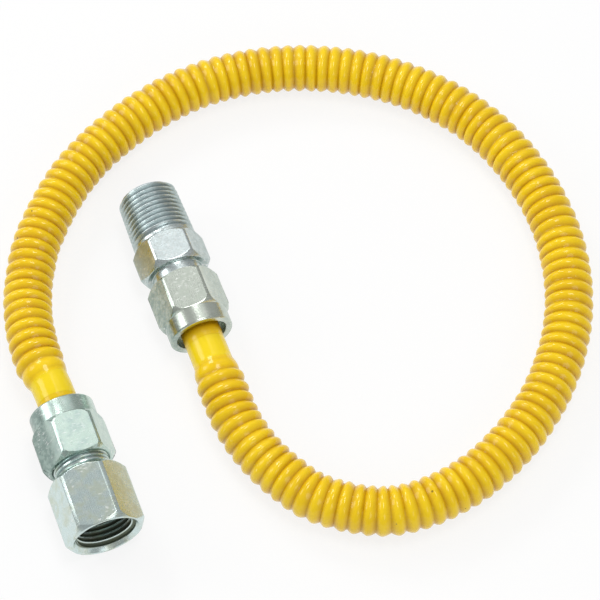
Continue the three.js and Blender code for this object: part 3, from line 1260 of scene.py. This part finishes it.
@dataclass(frozen=True)
class Lamp:
    """A soft lamp that faces the middle of the floor, in metres and watts."""

    name: str
    place: Triple
    size: Pair
    power: float

    def hang(self) -> None:
        """Adds the lamp to the scene."""
        data = bpy.data.lights.new(self.name, "AREA")
        data.shape, data.energy = "RECTANGLE", self.power
        data.size, data.size_y = self.size
        lamp = bpy.data.objects.new(self.name, data)
        lamp.location = self.place
        lamp.rotation_euler = (-Vector(self.place)).to_track_quat("-Z", "Y").to_euler()
        bpy.context.scene.collection.objects.link(lamp)


@dataclass
class Studio:
    """White floor, soft lamps and the camera of the photograph."""

    camera_place: Triple = (-0.1429, -0.3892, 0.7612)
    camera_aim: Triple = (0.0026, -0.0005, 0.0)
    lens: float = 150.9
    sensor: float = 36.0
    clip: Pair = (0.01, 50.0)
    floor_size: float = 16.0
    floor_drop: float = 0.00005
    floor_color: Color = (0.95, 0.95, 0.95)
    # Painted falloff of light: the floor's colour fades to floor_edge and its glow weakens away
    # from the middle
    floor_edge: Color = (0.74, 0.75, 0.75)
    floor_fade: Pair = (0.20, 2.2)
    floor_roughness: float = 0.9
    far_glow: float = 0.3
    floor_glow: float = 0.82
    world_strength: float = 0.42
    lamps: tuple[Lamp, ...] = (
        Lamp("overhead_softbox", (0.12, -0.04, 1.1), (0.46, 0.34), 3.6),
        Lamp("back_panel", (0.55, 0.60, 1.0), (0.5, 0.5), 0.40),
        Lamp("top_panel", (0.20, 0.57, 1.03), (0.24, 0.3), 0.30),
        Lamp("back_key", (-0.28, 1.02, 0.86), (0.42, 0.34), 4.2),
        Lamp("front_panel", (0.22, -1.05, 0.72), (0.5, 0.5), 1.7),
        Lamp("left_softbox", (-0.97, 0.585, 0.64), (0.5, 0.55), 2.7),
    )

    def camera(self) -> None:
        """Puts the camera where the photograph was taken from."""
        data = bpy.data.cameras.new("photo_camera")
        data.lens, data.sensor_width = self.lens, self.sensor
        data.clip_start, data.clip_end = self.clip
        camera = bpy.data.objects.new("photo_camera", data)
        camera.location = self.camera_place
        aim = Vector(self.camera_aim) - Vector(self.camera_place)
        camera.rotation_euler = aim.to_track_quat("-Z", "Y").to_euler()
        bpy.context.scene.collection.objects.link(camera)
        bpy.context.scene.camera = camera

    def floor(self) -> None:
        """Lays the floor, which carries the object's shadow and a painted falloff of light away
        from the middle.
        """
        bm = bmesh.new()
        bmesh.ops.create_grid(bm, x_segments=1, y_segments=1, size=self.floor_size / 2)
        bmesh.ops.translate(bm, vec=(0, 0, -self.floor_drop), verts=bm.verts[:])
        mesh = bpy.data.meshes.new("floor")
        bm.to_mesh(mesh)
        bm.free()
        sheet = NodeSheet("floor_white")
        reach = sheet.node("ShaderNodeVectorMath", {"operation": "LENGTH"}, {0: sheet.place()})
        away = Value(sheet, reach.outputs["Value"]).between(*self.floor_fade)
        color = sheet.blend(away, self.floor_color, self.floor_edge)
        sheet.feed(sheet.surface, {"Base Color": color, "Roughness": self.floor_roughness,
                                   "Specular IOR Level": 0.0})
        rays = sheet.node("ShaderNodeLightPath")
        camera, glossy, through = (Value(sheet, rays.outputs[name]) for name in
                                   ("Is Camera Ray", "Is Glossy Ray", "Is Transmission Ray"))
        share = (camera + glossy + through) * (1.0 - away * (1.0 - self.far_glow)) * self.floor_glow
        glow = sheet.node("ShaderNodeEmission", {}, {"Color": WHITE, "Strength": 1.0})
        mix = sheet.node("ShaderNodeMixShader", {},
                         {0: share, 1: sheet.surface.outputs[0], 2: glow.outputs[0]})
        sheet.feed(sheet.tree.nodes["Material Output"], {"Surface": mix.outputs[0]})
        mesh.materials.append(sheet.material)
        floor = bpy.data.objects.new("floor", mesh)
        bpy.context.scene.collection.objects.link(floor)

    def world(self) -> None:
        """Gives the room its even light."""
        world = bpy.data.worlds.new("studio")
        world.use_nodes = True
        background = world.node_tree.nodes["Background"]
        background.inputs["Color"].default_value = WHITE
        background.inputs["Strength"].default_value = self.world_strength
        bpy.context.scene.world = world

    def build(self) -> None:
        """Sets up the floor, world and lamps."""
        self.floor()
        self.world()
        for lamp in self.lamps:
            lamp.hang()
        bpy.context.scene.view_settings.view_transform = "Standard"
        LOG.info("studio: floor, %d lamps and the photograph's camera", len(self.lamps))


@dataclass
class GasHose:
    """The whole hose."""

    route: Route = field(default_factory=Route)
    tube_end: float = 8.969
    # Painted shade in the grooves of the flare, socket and pipe threads
    flare_shade: GrooveShade = GrooveShade(start=20.5, end=25.4, crest=9.4, root=8.7)
    socket_shade: GrooveShade = GrooveShade(
        start=30.0, end=46.8, crest=9.25, root=10.45, sharpness=(0.18, 0.45), strength=0.85,
        color=(0.13, 0.15, 0.085))
    pipe_shade: GrooveShade = GrooveShade(
        start=38.3, end=58.4, crest=10.4, root=9.1, taper=1 / 32, crest_share=0.15, strength=0.36,
        color=(0.20, 0.245, 0.27))
    female_nut_zinc: Plating = Plating(
        "female_nut_zinc", clean=(0.57, 0.71, 0.64), stain=(0.46, 0.60, 0.56),
        bloom=(0.70, 0.80, 0.76), roughness=0.28, side_shade_shares=(0.95, 0.0))
    male_nut_zinc: Plating = Plating(
        "male_nut_zinc", clean=(0.69, 0.75, 0.67), stain=(0.60, 0.66, 0.58),
        bloom=(0.77, 0.80, 0.74), roughness=0.26, side_shade_shares=(0.75, 0.4))
    female_zinc: Plating = Plating(
        "female_zinc", clean=(0.65, 0.78, 0.77), stain=(0.60, 0.68, 0.58),
        bloom=(0.74, 0.82, 0.80), roughness=0.26, threads=(flare_shade, socket_shade))
    male_zinc: Plating = Plating(
        "male_zinc", clean=(0.74, 0.83, 0.84), stain=(0.64, 0.72, 0.73), bloom=(0.82, 0.88, 0.89),
        roughness=0.27, threads=(pipe_shade,), side_shade_shares=(0.5, 0.55), grain_share=0.4)

    def seats(self) -> tuple[Seat, Seat]:
        """Gives the places of the two fittings at the route's ends.

        Returns:
            The female fitting's place and the male fitting's.
        """
        first, last = self.route.points[0], self.route.points[-1]
        step = Vector((0, self.tube_end * MM, 0))
        return Seat(first + step, -1), Seat(last - step, 1)

    def build(self) -> None:
        female, male = self.seats()
        tube = CorrugatedTube(self.route)
        hose = tube.build(CoatingFinish().material())
        FlareNut("female_end_nut", "female_flare_nut", "female_nut", female, FEMALE_NUT,
                 Finish.NUT_ZINC, self.female_nut_zinc).build()
        male_nut = FlareNut("male_end_nut", "male_flare_nut", "male_nut", male, MALE_NUT,
                            Finish.NUT_ZINC, self.male_nut_zinc).build()
        FemaleAdapter("female_pipe_adapter", "female_adapter", "female_end", female, FEMALE_HEX,
                      Finish.FEMALE_ZINC, self.female_zinc).build()
        male_adapter = MaleAdapter("male_pipe_adapter", "male_adapter", "male_end", male, MALE_HEX,
                                   Finish.MALE_ZINC, self.male_zinc).build()
        tube.declare()


def main() -> None:
    """Builds the scene."""
    logging.basicConfig(level=logging.INFO, format="%(name)s %(message)s")
    studio = Studio()
    studio.camera()
    GasHose().build()
    studio.build()


if __name__ == "__main__":
    main()
